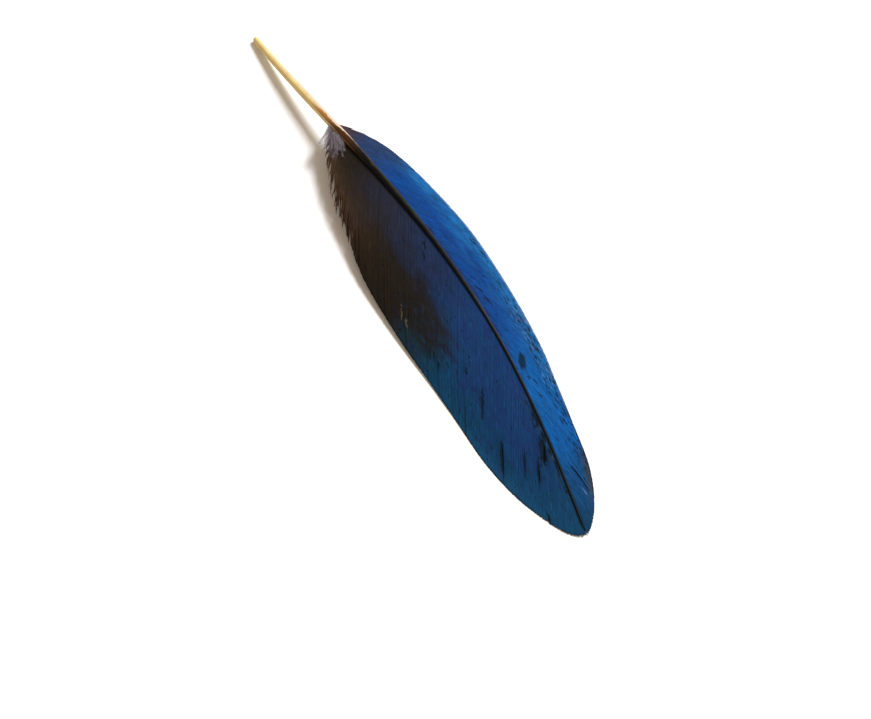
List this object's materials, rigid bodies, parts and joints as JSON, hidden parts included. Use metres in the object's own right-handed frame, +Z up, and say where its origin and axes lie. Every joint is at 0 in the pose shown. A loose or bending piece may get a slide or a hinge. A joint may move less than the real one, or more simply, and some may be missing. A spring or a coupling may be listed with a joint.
{
  "type": "macaw wing feather",
  "caption": "Loose blue wing feather of a macaw: bare quill, arched tapering rachis and two unequal vanes of barbs, lying with its coloured side up.",
  "frame": {"origin": "on the surface that the feather lies on, under the middle of its bounding box", "axes": "+X from the quill to the tip, +Y towards the narrow outer vane, +Z up, out of the coloured upper side"},
  "size_m": [0.1384, 0.025, 0.0063],
  "materials": {
    "feather": "silky matt keratin, blue above and red below"
  },
  "bodies": {
    "root": {"feather": "feather"}
  },
  "joints": []
}
